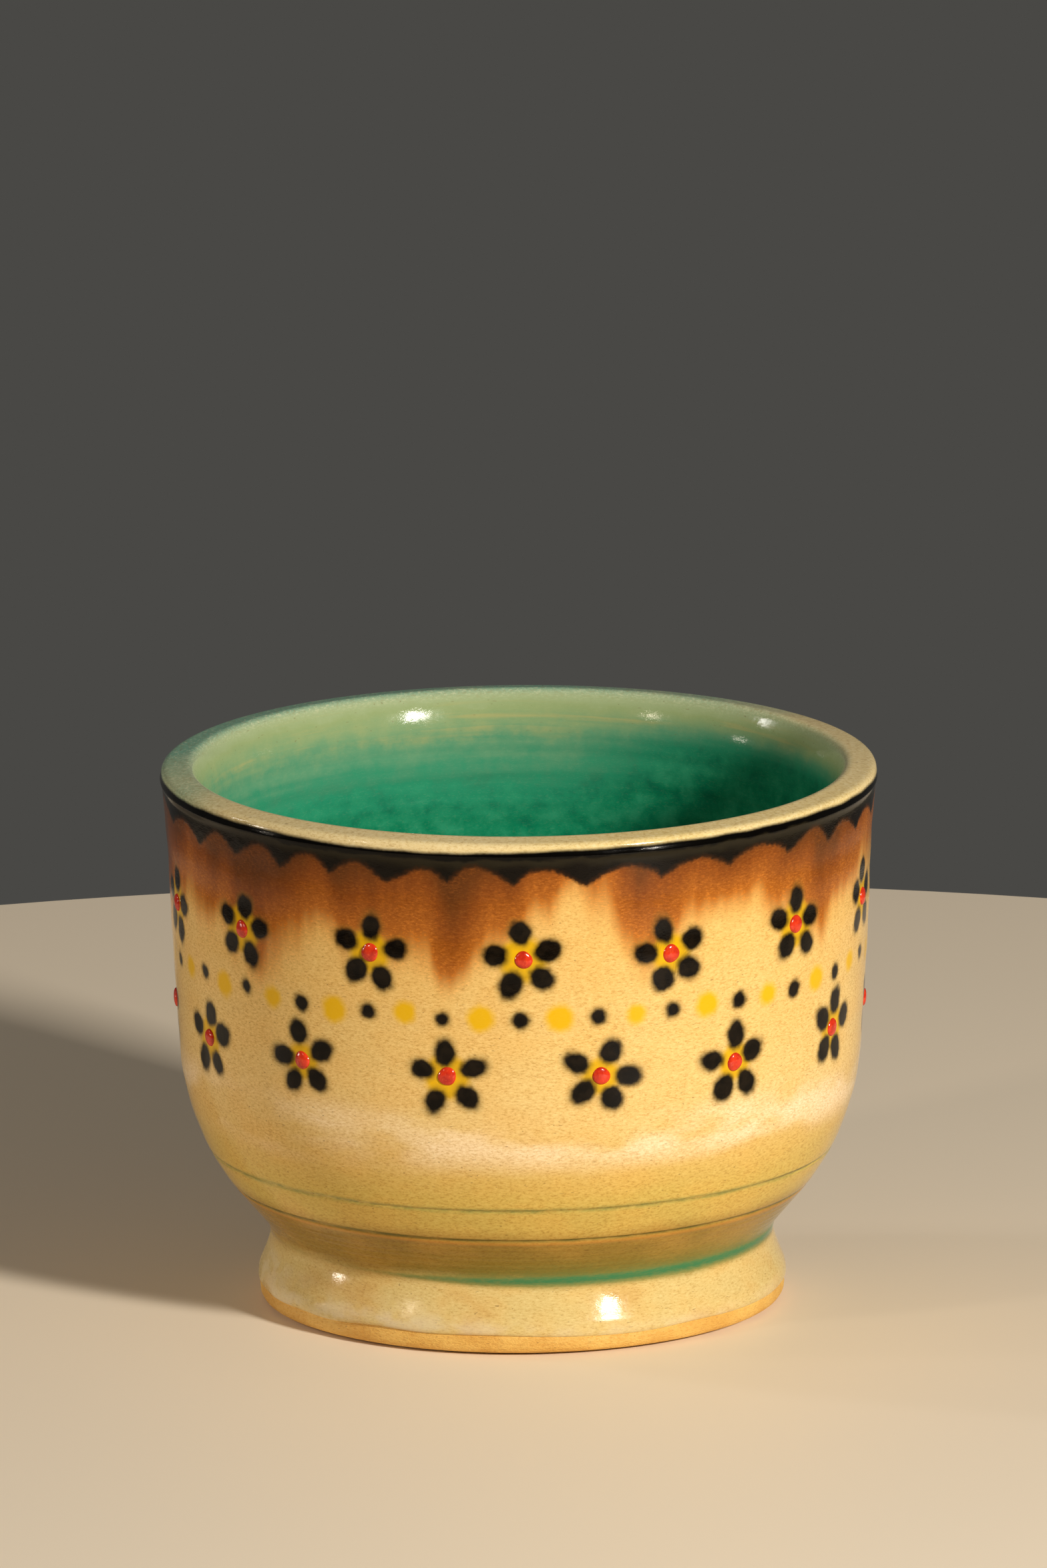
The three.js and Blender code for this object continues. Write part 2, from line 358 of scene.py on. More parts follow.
hearts = np.concatenate([np.stack(bead_centres(row)[:2], axis=1) for row in BEAD_ROWS])
dot_height = hearts[:, 1].mean()


def flower_distances(angle, height, radius):
    """How far inside the nearest petal and the nearest yellow eye a point lies, in mm, negative outside.
    A petal is an ellipse turned to its place round the heart, and its distance is its shorter half width
    times one less than the ellipse's own radius there."""
    chance = np.random.default_rng(51)
    petal = np.full(height.shape, -9.0)
    eye = np.full(height.shape, -9.0)
    for heart_angle, heart_height in hearts:
        across = turn_from(angle, heart_angle) * radius
        up = height - heart_height
        eye = np.maximum(eye, EYE_RADIUS * chance.uniform(0.9, 1.15) - np.hypot(across, up))
        turn = chance.uniform(-0.3, 0.3) + np.arange(PETALS) / PETALS * TURN + chance.normal(0, 0.06, PETALS)
        reach, length, width = (
            size * chance.uniform(0.9, 1.1, PETALS) for size in (PETAL_REACH, PETAL_LENGTH, PETAL_WIDTH)
        )
        for t, r, a, b in zip(turn, reach, length, width):
            outward = across * math.sin(t) + up * math.cos(t) - r
            sideways = across * math.cos(t) - up * math.sin(t)
            petal = np.maximum(petal, min(a, b) * (1 - np.hypot(outward / a, sideways / b)))
    return petal, eye


def dot_distances(angle, height, radius):
    """How far inside the nearest dot of the line a point lies, for the black and for the yellow dots."""
    chance = np.random.default_rng(52)
    lift = chance.normal(0, 0.25, DOTS)
    size = DOT_RADIUS * chance.uniform(0.8, 1.2, DOTS) * np.where(np.arange(DOTS) % 2 == 0, 0.9, 1.3)
    place = angle / TURN * DOTS
    nearest = np.round(place).astype(int)
    across = (place - nearest) * TURN / DOTS * radius
    number = nearest % DOTS
    inside = size[number] - np.hypot(across, height - dot_height - lift[number])
    black = number % 2 == 0
    return np.where(black, inside, -9.0), np.where(black, -9.0, inside)


def painted_places(run):
    """What the glaze materials read at each point of the skin: distances in mm from the painted edges, and
    how much green and milk lies there."""
    radius, height, _, _ = skin_outline.at(run)
    edge = arch_height(angles)
    slope = np.gradient(edge, angles) / lip_radius
    arch = (height - edge) / np.sqrt(1 + slope ** 2)
    spill = lip_edge_run + lip_spill(angles) - run
    petal, eye = flower_distances(angles, height, radius)
    black_dot, yellow_dot = dot_distances(angles, height, radius)
    thin = THIN_IRON * swell(turn_from(angles, math.radians(THIN_PLACE)), 0.11)
    return {
        "slip": np.minimum(arch, spill),
        "bead": spill,
        # The tilt of the brown from left to right is partly painted shade on the left and painted light on
        # the right.
        "iron": height - wash_height(angles) + IRON_BLEED - thin - IRON_LEFT_AND_SHADE * np.sin(angles),
        "petal": np.maximum(petal, black_dot),
        "pollen": np.maximum(eye, yellow_dot),
        "pool": pool_strength(angles, run),
        "milk_and_sheen": foot_milk_and_sheen(angles, run),
        "line": run - line_run(angles),
        "ridge": run - ridge_run(angles),
        "past_crest": run - RUN["crest"],
    }


# Meshes
def new_piece(name, mesh, material, slot, *nodes):
    mesh.materials.append(material)
    piece = bpy.data.objects.new(name, mesh)
    bpy.context.scene.collection.objects.link(piece)
    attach(piece, "root")
    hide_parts(*nodes)
    return piece


def turned_mesh(name, bodies, closed):
    """A mesh of closed bodies, each given as rows of points round an axis and joined by quads. In a closed
    body the last row joins the first. Otherwise both end rows lie on the axis: each becomes one point, joined
    by triangles. Returns the mesh and the places of its points among those given."""
    index = np.arange(bodies[..., 0].size).reshape(bodies.shape[:3])
    if not closed:
        index[:, [0, -1]] = index[:, [0, -1], :1]
    grid = np.concatenate([index, index[:, :1]], axis=1) if closed else index
    grid = np.concatenate([grid, grid[:, :, :1]], axis=2)
    quads = corners_of(grid)
    count, rows, columns = quads.shape[:3]
    body, v, u = np.meshgrid(np.arange(count), np.arange(rows + 1), np.arange(columns + 1), indexing="ij")
    places = np.stack([corners_of((body + u / columns) / count), corners_of(v / rows)], axis=-1)
    keep = np.ones(quads.shape, bool)
    if not closed:
        keep[:, 0, :, 1] = False
        keep[:, -1, :, 3] = False
    used, corners = np.unique(quads[keep], return_inverse=True)
    sides = keep.reshape(-1, 4).sum(axis=1)
    mesh = bpy.data.meshes.new(name)
    mesh.vertices.add(len(used))
    mesh.vertices.foreach_set("co", (bodies.reshape(-1, 3)[used] * MM).ravel())
    mesh.loops.add(len(corners))
    mesh.loops.foreach_set("vertex_index", corners)
    mesh.polygons.add(len(sides))
    mesh.polygons.foreach_set("loop_start", np.cumsum(sides) - sides)
    mesh.update(calc_edges=True)
    mesh.uv_layers.new(name="OFBake").uv.foreach_set("vector", places[keep].ravel())
    mesh.shade_smooth()
    return mesh, used


def corners_of(grid):
    """The four corners of every cell of a grid, in turn."""
    return np.stack([grid[:, :-1, :-1], grid[:, :-1, 1:], grid[:, 1:, 1:], grid[:, 1:, :-1]], axis=-1)


def dress(mesh, used, normals, paint):
    """Gives a mesh the skin's own normals, where there are any, and what is painted on it."""
    for name, values in paint.items():
        mesh.attributes.new(name, "FLOAT", "POINT").data.foreach_set("value", values.ravel()[used])
    mesh.normals_split_custom_set_from_vertices(normals.reshape(-1, 3)[used])


def glaze_coat(name, node, slot, material, low, high, spacing=0.4):
    """A coat of glaze between two runs, which may wave with the angle: rows of the skin from low to high, and
    a few rows of its underside back again. A coat that ends at the middle of the floor closes on the axis,
    so it starts with the underside."""
    low, high = (np.broadcast_to(edge, angles.shape) for edge in (low, high))
    count = math.ceil((high - low).max() / spacing) + 1
    to_axis = high[0] == RUN["floor centre"]
    front = low + (high - low) * np.linspace(0, 1, count)[:, None]
    back = low + (high - low) * np.linspace(1, 0, max(count // 6, 3))[:, None]
    sides = [(back, 1.0), (front, 0.0)] if to_axis else [(front, 0.0), (back, 1.0)]
    run = np.concatenate([side for side, _ in sides])
    under = np.concatenate([np.full(len(side), share) for side, share in sides])
    rows = skin(angles, run, 0.9 * GLAZE * under[:, None])
    normals = np.where(under[:, None, None] > 0, 0.0, skin_normals(angles, run))
    mesh, used = turned_mesh(name, rows[None], closed=not to_axis)
    dress(mesh, used, normals, painted_places(run))
    return new_piece(name, mesh, material, slot, node)


def clay_bowl(name, material):
    """The bowl's clay: its trimmed underside from the axis out, then the skin at a glaze's depth from the
    crease over the lip to the middle of the floor."""
    run = np.linspace(RUN["crease"] + 0.4, RUN["floor centre"], 100)[:, None] + np.zeros(clay_angles.shape)
    inner = skin(clay_angles, run, GLAZE)
    edge = np.hypot(inner[0, 0, 0], inner[0, 0, 1]) - 0.2
    radius = np.linspace(0, edge, 90)[:, None]
    rings = 0.05 * np.sin(radius * TURN / 2.4 + clay_angles) * smooth(radius, 2, 8)
    height = crease_height + rings * smooth(radius, edge - 3, edge - 6)
    under = turned(clay_angles, np.broadcast_to(radius, height.shape), height)
    mesh, _ = turned_mesh(name, np.concatenate([under, inner])[None], closed=False)
    return new_piece(name, mesh, material, "bowl_clay", "bowl")


STANDING_RADIUS = 34.4  # outside of the ring that touches the table
RECESS_RADIUS = 30.4
HEEL_HEIGHT = 0.55  # slit between the bare heel and the table


def clay_foot(name, material):
    """The foot ring's clay: a closed outline of recess, standing ring, bare heel, belly and cone, turned."""
    outline = Outline([
        (RECESS_RADIUS - 1.8, crease_height, 0.2),
        (RECESS_RADIUS - 1.0, 1.0, 0.4),
        (RECESS_RADIUS, 0.0, 0.3),
        (STANDING_RADIUS, 0.0, 0.3),
        (foot_radius - 0.6, HEEL_HEIGHT, 0.2),
        (foot_radius - 0.25, 1.3, 0.4),
        (foot_radius - 0.25, 2.3, 0.5),
        (foot_radius - 0.55, 3.2, 0.5),
        (foot_radius - 0.5, 4.0, 0.4),
        (foot_radius - 1.9, 7.3, 2.4),
        (foot_radius - 2.6, crease_height, 0.2),
    ], closed=True)
    rows = outline.run[:-1:5][::-1]
    radius, height, _, _ = (value[:, None] + np.zeros(clay_angles.shape) for value in outline.at(rows))
    height = np.maximum(height, 0)
    chatter = 0.03 * np.sin(height * TURN / 0.7 + 0.6 * np.sin(clay_angles)) * smooth(height, 0.2, 0.8)
    points = turned(clay_angles, radius - chatter, height)
    mesh, _ = turned_mesh(name, points[None, ::-1], closed=True)
    return new_piece(name, mesh, material, "foot_clay", "foot_ring")


def red_beads(name, row, material):
    """A row of red beads: each is a dome that rises as the root of one less its radius squared, with an
    uneven round outline, on a flat back sunk in the glaze."""
    nodes = BEAD_ROWS[row]
    chance = np.random.default_rng(71)
    size = np.array([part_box(node)[1].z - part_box(node)[0].z for node in nodes]) / 2 / MM
    spoke = np.arange(28) / 28 * TURN
    uneven = np.stack([unsteady(spoke, seed, 4) for seed in range(FLOWERS)])
    shape = (size * chance.uniform(0.92, 1.0, FLOWERS))[:, None, None] * (1 + 0.05 * uneven[:, None])
    dome = np.linspace(0, 1, 9)
    out = np.concatenate([dome, np.linspace(1, 0, 3)])[:, None]
    rise = BEAD_RISE * np.concatenate([np.sqrt(1 - dome ** 2), np.full(3, -0.35)])[:, None]
    across = out * shape * np.sin(spoke)
    up = out * shape * np.cos(spoke)
    angle, height, radius = (value[:, None, None] for value in bead_centres(row))
    wall = np.interp(height + up, skin_outline.height[outside], skin_outline.radius[outside])
    points = turned(angle + across / radius, wall + rise, height + up)
    mesh, _ = turned_mesh(name, points, closed=False)
    return new_piece(name, mesh, material, "red_slip", *nodes)


# Shader nodes
def shade(red, green, blue):
    """A display colour, 0 to 255, as the linear one that shaders take."""
    parts = np.array([red, green, blue]) / 255
    linear = np.where(parts > 0.04045, ((parts + 0.055) / 1.055) ** 2.4, parts / 12.92)
    return (*linear.tolist(), 1.0)


VALUE, COLOUR, VECTOR = "NodeSocketFloat", "NodeSocketColor", "NodeSocketVector"


class Tree:
    """A node tree with short ways to add what is used here. A value is a number, a colour or an output."""

    def __init__(self, tree):
        self.tree = tree

    def add(self, kind, inputs=None, **settings):
        node = self.tree.nodes.new(kind)
        for name, value in settings.items():
            setattr(node, name, value)
        self.feed(node, inputs or {})
        return node

    def feed(self, node, inputs):
        for socket, value in inputs.items():
            if isinstance(value, bpy.types.NodeSocket):
                self.tree.links.new(value, node.inputs[socket])
            else:
                node.inputs[socket].default_value = value

    def sums(self, operation, *values):
        return self.add("ShaderNodeMath", dict(enumerate(values)), operation=operation).outputs[0]

    def noise(self, vector, stretch, detail=2.0, roughness=0.5):
        """Noise between 0 and 1, with so many lumps to a millimetre along x, y and z."""
        scale = [1 / MM * s for s in stretch]
        place = self.add("ShaderNodeMapping", {"Vector": vector, "Scale": scale}).outputs[0]
        inputs = {"Vector": place, "Scale": 1.0, "Detail": detail, "Roughness": roughness}
        return self.add("ShaderNodeTexNoise", inputs).outputs[0]

    def eased(self, value, low, high, start=0.0, end=1.0):
        """An S-curve from start at low to end at high."""
        inputs = {"Value": value, "From Min": low, "From Max": high, "To Min": start, "To Max": end}
        return self.add("ShaderNodeMapRange", inputs, interpolation_type="SMOOTHSTEP").outputs[0]

    def mixed(self, share, first, second, mode="MIX"):
        inputs = {0: share, 6: first, 7: second}
        return self.add("ShaderNodeMix", inputs, data_type="RGBA", blend_type=mode).outputs[2]

    def stops(self, value, low, high, colours):
        """Colours along a value from low to high, given as pairs of value and colour."""
        inputs = {"Value": value, "From Min": low, "From Max": high}
        share = self.add("ShaderNodeMapRange", inputs).outputs[0]
        node = self.add("ShaderNodeValToRGB", {"Fac": share})
        ramp = node.color_ramp.elements
        while len(ramp) < len(colours):
            ramp.new(1.0)
        for element, (place, colour) in zip(ramp, colours):
            element.position = (place - low) / (high - low)
            element.color = colour
        return node.outputs[0]

    def painted(self, name):
        return self.add("ShaderNodeAttribute", attribute_name=name).outputs["Fac"]

    def use(self, group, inputs):
        """The outputs of a node group, given its inputs."""
        node = self.add("ShaderNodeGroup", node_tree=group)
        self.feed(node, inputs)
        return node.outputs


def effect(inputs, outputs):
    """Makes a function that fills a node tree into a shader node group with those sockets."""
    def make(fill):
        group = bpy.data.node_groups.new(fill.__name__, "ShaderNodeTree")
        for socket, kind in inputs.items():
            group.interface.new_socket(socket, in_out="INPUT", socket_type=kind)
        for socket, kind in outputs.items():
            group.interface.new_socket(socket, in_out="OUTPUT", socket_type=kind)
        tree = Tree(group)
        given = tree.add("NodeGroupInput").outputs
        tree.feed(tree.add("NodeGroupOutput"), fill(tree, given))
        return group
    return make


GRAIN_DARK = (0.6, 0.46, 0.26, 1.0)  # what the grain's strokes do to the colour over them
GRAIN_LIGHT = (1.18, 1.3, 1.55, 1.0)
IRON_LIGHT = (1.6, 1.8, 2.2, 1.0)  # and to iron brown


@effect({"Place": VECTOR}, {"Grain": VALUE, "Mottle": VALUE, "Speck": VALUE})
def clay_grain(tree, given):
    """The clay under the glaze: short level strokes left by the thrower's fingers, from -1 to 1, cloudy
    patches, and a few dark specks, most of them drawn out sideways."""
    place = given["Place"]
    grain = tree.noise(place, (1.6, 1.6, 4.2), detail=2.0, roughness=0.8)
    mottle = tree.noise(place, (0.12, 0.12, 0.2), detail=3.0)
    round_speck = tree.eased(tree.noise(place, (1.9, 1.9, 3.2), detail=0.0), 0.82, 0.87)
    dash = tree.eased(tree.noise(place, (1.2, 1.2, 6.5), detail=0.0), 0.80, 0.86)
    return {
        "Grain": tree.sums("MULTIPLY_ADD", grain, 5.5, -2.75),
        "Mottle": mottle,
        "Speck": tree.sums("MAXIMUM", round_speck, dash),
    }


@effect({"Place": VECTOR, "Grain": VALUE, "Mottle": VALUE, "Speck": VALUE, "Milk And Sheen": VALUE},
        {"Color": COLOUR, "Milk": VALUE})
def honey_ground(tree, given):
    """Honey glaze over buff clay: straw on the foot, olive under the ridge, darker there partly as painted
    shade, and honey on the wall, with milky patches at the shoulder, and thin brown places and a milky film
    on the foot, paler on the left partly as painted reflection. It is clouded, streaked level and specked."""
    place = given["Place"]
    height = tree.sums("MULTIPLY", tree.add("ShaderNodeSeparateXYZ", {0: place}).outputs[2], 1 / MM)
    grain = tree.sums("MULTIPLY", given["Grain"], tree.eased(height, 8.0, 12.0, 0.8, 1.0))
    wander = tree.noise(place, (0.06, 0.06, 0.05), detail=2.0)
    level = tree.sums("ADD", height, tree.sums("MULTIPLY_ADD", wander, 3.0, -1.5))
    colour = tree.stops(level, 0.0, 80.0, [
        (2.5, shade(204, 180, 118)),
        (9.0, shade(204, 180, 118)),
        # Painted shade: the olive under the ridge is partly the glaze's colour and partly darkened for the
        # shade of the undercut.
        (11.5, shade(144, 116, 46)),
        (16.8, shade(146, 116, 46)),
        (17.8, shade(168, 138, 64)),
        (19.6, shade(200, 172, 88)),
        (24.0, shade(202, 172, 88)),
        (29.0, shade(212, 176, 100)),
        (36.0, shade(224, 190, 122)),
        (46.0, shade(226, 190, 118)),
        (64.0, shade(226, 184, 108)),
    ])
    cloud = tree.eased(given["Mottle"], 0.35, 0.7, 0.0, 0.2)
    colour = tree.mixed(cloud, colour, shade(226, 168, 80))
    patch = tree.eased(tree.noise(place, (0.05, 0.05, 0.14), detail=3.0), 0.38, 0.62)
    shoulder = tree.eased(tree.sums("ABSOLUTE", tree.sums("SUBTRACT", level, 33.0)), 6.0, 0.5, 0.0, 0.75)
    colour = tree.mixed(tree.sums("MULTIPLY", shoulder, patch), colour, shade(244, 218, 178))
    thin = tree.eased(given["Mottle"], 0.5, 0.68, 0.0, 0.25)
    thin = tree.sums("MULTIPLY", thin, tree.eased(height, 9.5, 8.0))
    colour = tree.mixed(thin, colour, shade(172, 124, 58))
    colour = tree.mixed(tree.eased(grain, 0.0, -1.0, 0.0, 0.5), colour, GRAIN_DARK, "MULTIPLY")
    colour = tree.mixed(tree.eased(grain, 0.0, 1.0, 0.0, 0.5), colour, GRAIN_LIGHT, "MULTIPLY")
    colour = tree.mixed(tree.sums("MULTIPLY", given["Speck"], 0.5), colour, shade(98, 62, 28))
    # Milky glaze on the foot, its pale colour on the left partly a painted reflection.
    torn = tree.noise(place, (0.22, 0.22, 0.4), detail=3.0)
    milk_and_sheen_mask = tree.sums("MULTIPLY", given["Milk And Sheen"], tree.eased(torn, 0.34, 0.68))
    return {"Color": tree.mixed(tree.sums("MULTIPLY", milk_and_sheen_mask, 0.5), colour, shade(214, 204, 182)), "Milk": milk_and_sheen_mask}


@effect({"Color": COLOUR, "Place": VECTOR, "Pool": VALUE, "Line": VALUE, "Ridge": VALUE}, {"Color": COLOUR})
def green_lines(tree, given):
    """Copper green where glaze gathered: a streaky ring in the crease, and soft, broken lines in the turned
    line and under the ridge, with an orange break below that."""
    broken = tree.noise(given["Place"], (0.2, 0.2, 1.2), detail=3.0)
    fine = tree.noise(given["Place"], (1.0, 1.0, 4.5), detail=2.0, roughness=0.6)
    streaks = tree.sums("MULTIPLY", given["Pool"], tree.eased(fine, 0.2, 0.8, 0.8, 1.12))
    colour = tree.mixed(tree.eased(streaks, 0.0, 0.5, 0.0, 0.7), given["Color"], shade(112, 116, 54))
    colour = tree.mixed(tree.eased(streaks, 0.2, 1.05, 0.0, 0.9), colour, shade(42, 116, 76))
    line = tree.eased(tree.sums("ABSOLUTE", given["Line"]), 0.8, 0.0)
    line = tree.sums("MULTIPLY", line, tree.eased(broken, 0.25, 0.65, 0.15, 0.7))
    line = tree.sums("MULTIPLY", line, tree.eased(fine, 0.2, 0.7, 0.4, 1.1))
    colour = tree.mixed(line, colour, shade(100, 122, 64))
    groove = tree.eased(tree.sums("ABSOLUTE", tree.sums("ADD", given["Ridge"], 0.45)), 0.6, 0.1)
    groove = tree.sums("MULTIPLY", groove, tree.eased(broken, 0.3, 0.65, 0.25, 0.85))
    colour = tree.mixed(groove, colour, shade(84, 84, 36))
    edge = tree.eased(tree.sums("ABSOLUTE", tree.sums("ADD", given["Ridge"], 1.15)), 0.5, 0.1, 0.0, 0.35)
    return {"Color": tree.mixed(edge, colour, shade(206, 136, 54))}


@effect({"Color": COLOUR, "Place": VECTOR, "Grain": VALUE, "Iron": VALUE}, {"Color": COLOUR})
def iron_run(tree, given):
    """Iron brown that ran down in the fire: dense below the lip and thinner towards its lower edge, in
    upright streaks and broad patches, with the level grain of the clay showing through."""
    streak = tree.noise(given["Place"], (0.3, 0.3, 0.04), detail=2.0)
    patch = tree.noise(given["Place"], (0.075, 0.075, 0.03), detail=2.0)
    ragged = tree.sums("MULTIPLY_ADD", streak, 8.0, -4.0)
    ragged = tree.sums("ADD", ragged, tree.sums("MULTIPLY_ADD", patch, 18.0, -8.5))
    ragged = tree.sums("ADD", ragged, given["Grain"])
    above = tree.sums("ADD", given["Iron"], ragged)
    amount = tree.eased(above, -3.0, 4.4, 0.0, 0.96)
    brown = tree.stops(above, -2.0, 14.0, [
        (0.0, shade(200, 134, 56)),
        (4.0, shade(164, 90, 22)),
        (9.0, shade(124, 58, 5)),
        (13.0, shade(86, 36, 1)),
    ])
    brown = tree.mixed(tree.eased(given["Grain"], 0.0, -1.0, 0.0, 0.65), brown, GRAIN_DARK, "MULTIPLY")
    brown = tree.mixed(tree.eased(given["Grain"], 0.0, 1.0), brown, IRON_LIGHT, "MULTIPLY")
    return {"Color": tree.mixed(amount, given["Color"], brown)}


@effect({"Color": COLOUR, "Place": VECTOR, "Petal": VALUE, "Pollen": VALUE}, {"Color": COLOUR, "Mask": VALUE})
def flower_paint(tree, given):
    """Brush marks under the glaze: soft yellow eyes and dots, and black petals and dots with a faint olive
    halo where the colour bled, thinner in places."""
    bleed = tree.noise(given["Place"], (0.7, 0.7, 0.7), detail=2.0)
    edge = tree.sums("MULTIPLY_ADD", bleed, 0.8, -0.4)
    pollen = tree.eased(tree.sums("ADD", given["Pollen"], edge), -0.9, 0.5, 0.0, 0.96)
    petal = tree.sums("ADD", given["Petal"], edge)
    colour = tree.mixed(pollen, given["Color"], shade(226, 176, 2))
    colour = tree.mixed(tree.eased(petal, -1.0, 0.1, 0.0, 0.5), colour, shade(108, 88, 34))
    mask = tree.eased(petal, -0.4, 0.35)
    black = tree.mixed(tree.eased(bleed, 0.35, 0.7), shade(10, 6, 3), shade(24, 17, 9))
    return {"Color": tree.mixed(mask, colour, black), "Mask": mask}


@effect({"Color": COLOUR, "Place": VECTOR, "Slip": VALUE, "Bead": VALUE}, {"Color": COLOUR, "Mask": VALUE})
def black_edge(tree, given):
    """Black slip round the lip: thick and jet black in the bead along its upper edge, charcoal just below,
    paler there partly as a painted reflection of the pale floor, and darker again towards its arches, with a
    furred edge and a brown fringe where it is thin."""
    fur = tree.noise(given["Place"], (1.4, 1.4, 2.0), detail=2.0)
    fur = tree.sums("MULTIPLY_ADD", fur, 0.8, -0.4)
    slip = tree.sums("MULTIPLY_ADD", fur, tree.eased(given["Bead"], 0.4, 1.5, 0.15, 1.0), given["Slip"])
    mask = tree.eased(slip, -0.35, 0.3)
    wash = tree.noise(given["Place"], (0.25, 0.25, 0.5), detail=3.0)
    below = tree.sums("ADD", given["Bead"], tree.sums("MULTIPLY_ADD", wash, 1.6, -0.8))
    # Painted reflection: the charcoal just below the bead is paler, partly standing in for the pale floor
    # mirrored there.
    black = tree.mixed(tree.eased(below, 1.2, 3.0), shade(36, 31, 19), shade(14, 9, 5))
    black = tree.mixed(tree.eased(slip, 0.0, 0.8, 0.7, 0.0), black, shade(58, 32, 10))
    black = tree.mixed(tree.eased(below, 1.4, 0.9), black, shade(5, 4, 3))
    return {"Color": tree.mixed(mask, given["Color"], black), "Mask": mask}


@effect({"Place": VECTOR, "Grain": VALUE, "Speck": VALUE, "Past Crest": VALUE}, {"Color": COLOUR})
def copper_dip(tree, given):
    """The inside: a straw lip that is green where the dip ran over it at the left and back, greener and
    darker there partly as painted shade and reflection, then grey-green with level straw streaks, then deep
    copper green, sooner at the right as painted shade, and clouded."""
    place, past = given["Place"], given["Past Crest"]
    ring = tree.noise(place, (0.04, 0.04, 0.9), detail=3.0)
    cloud = tree.noise(place, (0.28, 0.28, 0.32), detail=4.0, roughness=0.6)
    broad = tree.noise(place, (0.06, 0.06, 0.06), detail=2.0)
    wander = tree.sums("MULTIPLY_ADD", ring, 5.0, -2.5)
    wander = tree.sums("ADD", wander, tree.sums("MULTIPLY_ADD", cloud, 7.0, -3.5))
    depth = tree.sums("MULTIPLY_ADD", wander, tree.eased(past, 0.0, 6.0), past)
    # Painted shade: the glaze turns deep green sooner towards the right, where the inside lies in shadow.
    right = tree.sums("MULTIPLY", tree.add("ShaderNodeSeparateXYZ", {0: place}).outputs[0], 1 / MM)
    painted_shade_right = tree.eased(right, 4.0, 32.0, 0.0, 9.0)
    depth = tree.sums("MULTIPLY_ADD", painted_shade_right, tree.eased(past, 2.0, 8.0), depth)
    # Painted shade and reflection: the lip turns greener and darker towards the left and back, partly the
    # dip's own green.
    left_and_back = {0: place, 1: (-0.5 / MM, 0.8 / MM, 0.0)}
    side = tree.add("ShaderNodeVectorMath", left_and_back, operation="DOT_PRODUCT").outputs["Value"]
    side = tree.sums("MULTIPLY_ADD", broad, 40.0, side)
    lip = tree.stops(side, -40.0, 70.0, [
        (-32.0, shade(222, 198, 134)),
        (-12.0, shade(228, 206, 152)),
        (12.0, shade(222, 202, 148)),
        (38.0, shade(166, 184, 148)),
        (55.0, shade(118, 172, 148)),
    ])
    colour = tree.stops(depth, -6.0, 74.0, [
        (-1.0, shade(164, 182, 154)),
        (1.0, shade(160, 176, 134)),
        (2.5, shade(146, 164, 114)),
        (5.0, shade(126, 158, 114)),
        (8.0, shade(94, 150, 114)),
        (11.0, shade(64, 142, 108)),
        (14.0, shade(36, 134, 100)),
        # The darkest, deepest greens are partly painted shade, reached soonest on the right.
        (19.0, shade(12, 120, 84)),
        (70.0, shade(6, 104, 74)),
    ])
    colour = tree.mixed(tree.eased(past, -1.2, 1.0), lip, colour)
    straw = tree.sums("MULTIPLY", tree.eased(ring, 0.5, 0.68, 0.0, 0.45), tree.eased(depth, 9.0, 4.0))
    straw = tree.sums("MULTIPLY", straw, tree.eased(past, 1.0, 3.0))
    colour = tree.mixed(straw, colour, shade(190, 172, 108))
    green = tree.eased(depth, 8.0, 17.0)
    light = tree.sums("MULTIPLY", tree.eased(cloud, 0.42, 0.72, 0.0, 0.6), green)
    colour = tree.mixed(light, colour, shade(52, 150, 112))
    dark = tree.sums("MULTIPLY", tree.eased(cloud, 0.5, 0.28, 0.0, 0.6), green)
    colour = tree.mixed(dark, colour, shade(2, 92, 68))
    sand = tree.eased(past, 2.0, -0.5, 0.02, 0.36)
    low = tree.eased(given["Grain"], 0.0, -1.0)
    high = tree.eased(given["Grain"], 0.0, 1.0)
    colour = tree.mixed(tree.sums("MULTIPLY", low, sand), colour, shade(160, 122, 66))
    colour = tree.mixed(tree.sums("MULTIPLY", high, sand), colour, shade(244, 230, 190))
    speck = tree.sums("MULTIPLY", given["Speck"], tree.eased(past, 9.0, 3.0, 0.0, 0.4))
    return {"Color": tree.mixed(speck, colour, shade(110, 80, 44))}


@effect({"Place": VECTOR, "Grain": VALUE, "Paint": VALUE, "Milk": VALUE},
        {"Roughness": VALUE, "Normal": VECTOR})
def glaze_skin(tree, given):
    """The surface of fired glaze: a slight orange peel, the grain just felt through it, and painted marks a
    hair proud. It is a little duller in patches, and most where it is milky."""
    peel = tree.noise(given["Place"], (0.7, 0.7, 0.7), detail=1.0)
    height = tree.sums("MULTIPLY_ADD", given["Grain"], 0.10, peel)
    height = tree.sums("MULTIPLY_ADD", given["Paint"], 0.35, height)
    bump = tree.add("ShaderNodeBump", {"Strength": 1.0, "Distance": 0.02 * MM, "Height": height})
    patch = tree.noise(given["Place"], (0.15, 0.15, 0.15), detail=2.0)
    roughness = tree.sums("MULTIPLY_ADD", given["Milk"], 0.5, tree.eased(patch, 0.3, 0.7, 0.09, 0.17))
    return {"Roughness": roughness, "Normal": bump.outputs[0]}


# Materials
def new_material(name):
    material = bpy.data.materials.new(name)
    material.use_nodes = True
    tree = Tree(material.node_tree)
    shader = material.node_tree.nodes["Principled BSDF"]
    place = tree.add("ShaderNodeTexCoord").outputs["Object"]
    return material, tree, shader, place


def finish_glaze(tree, shader, colour, skin_inputs):
    """Feeds the shader of a glaze with its colour and surface."""
    surface = tree.use(glaze_skin, skin_inputs)
    tree.feed(shader, {
        "Base Color": colour,
        "Roughness": surface["Roughness"],
        "Normal": surface["Normal"],
        "IOR": 1.52,
        "Specular IOR Level": 0.14,
    })


